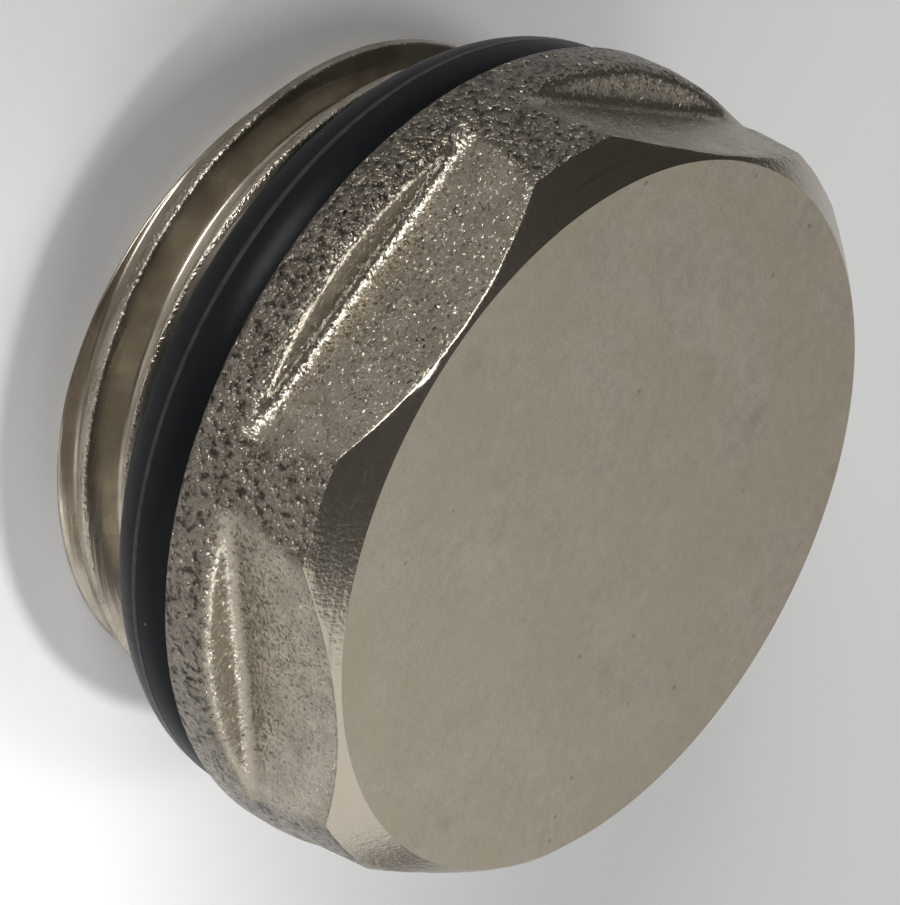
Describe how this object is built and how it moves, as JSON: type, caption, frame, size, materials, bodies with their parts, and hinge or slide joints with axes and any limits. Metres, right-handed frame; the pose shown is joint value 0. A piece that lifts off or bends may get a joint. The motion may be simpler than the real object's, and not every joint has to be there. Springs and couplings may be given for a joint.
{
  "type": "radiator blanking plug",
  "caption": "Nickel-plated blanking plug that closes a radiator port: hexagon head on a round collar, short male thread, hollow back and a rubber sealing ring.",
  "frame": {"origin": "centre of the threaded end's annular face, on the plug's axis, where the plug stands", "axes": "+Z along the plug's axis, out of the front face; +X square to one flat of the hexagon"},
  "size_m": [0.0246, 0.0246, 0.0123],
  "materials": {
    "plated_brass": "nickel plated: turned satin face, grainy forged flats and collar, bright thread",
    "black_rubber": "smooth satin"
  },
  "bodies": {
    "root": {"plug_body": "plated_brass", "seal_ring": "black_rubber"}
  },
  "joints": []
}
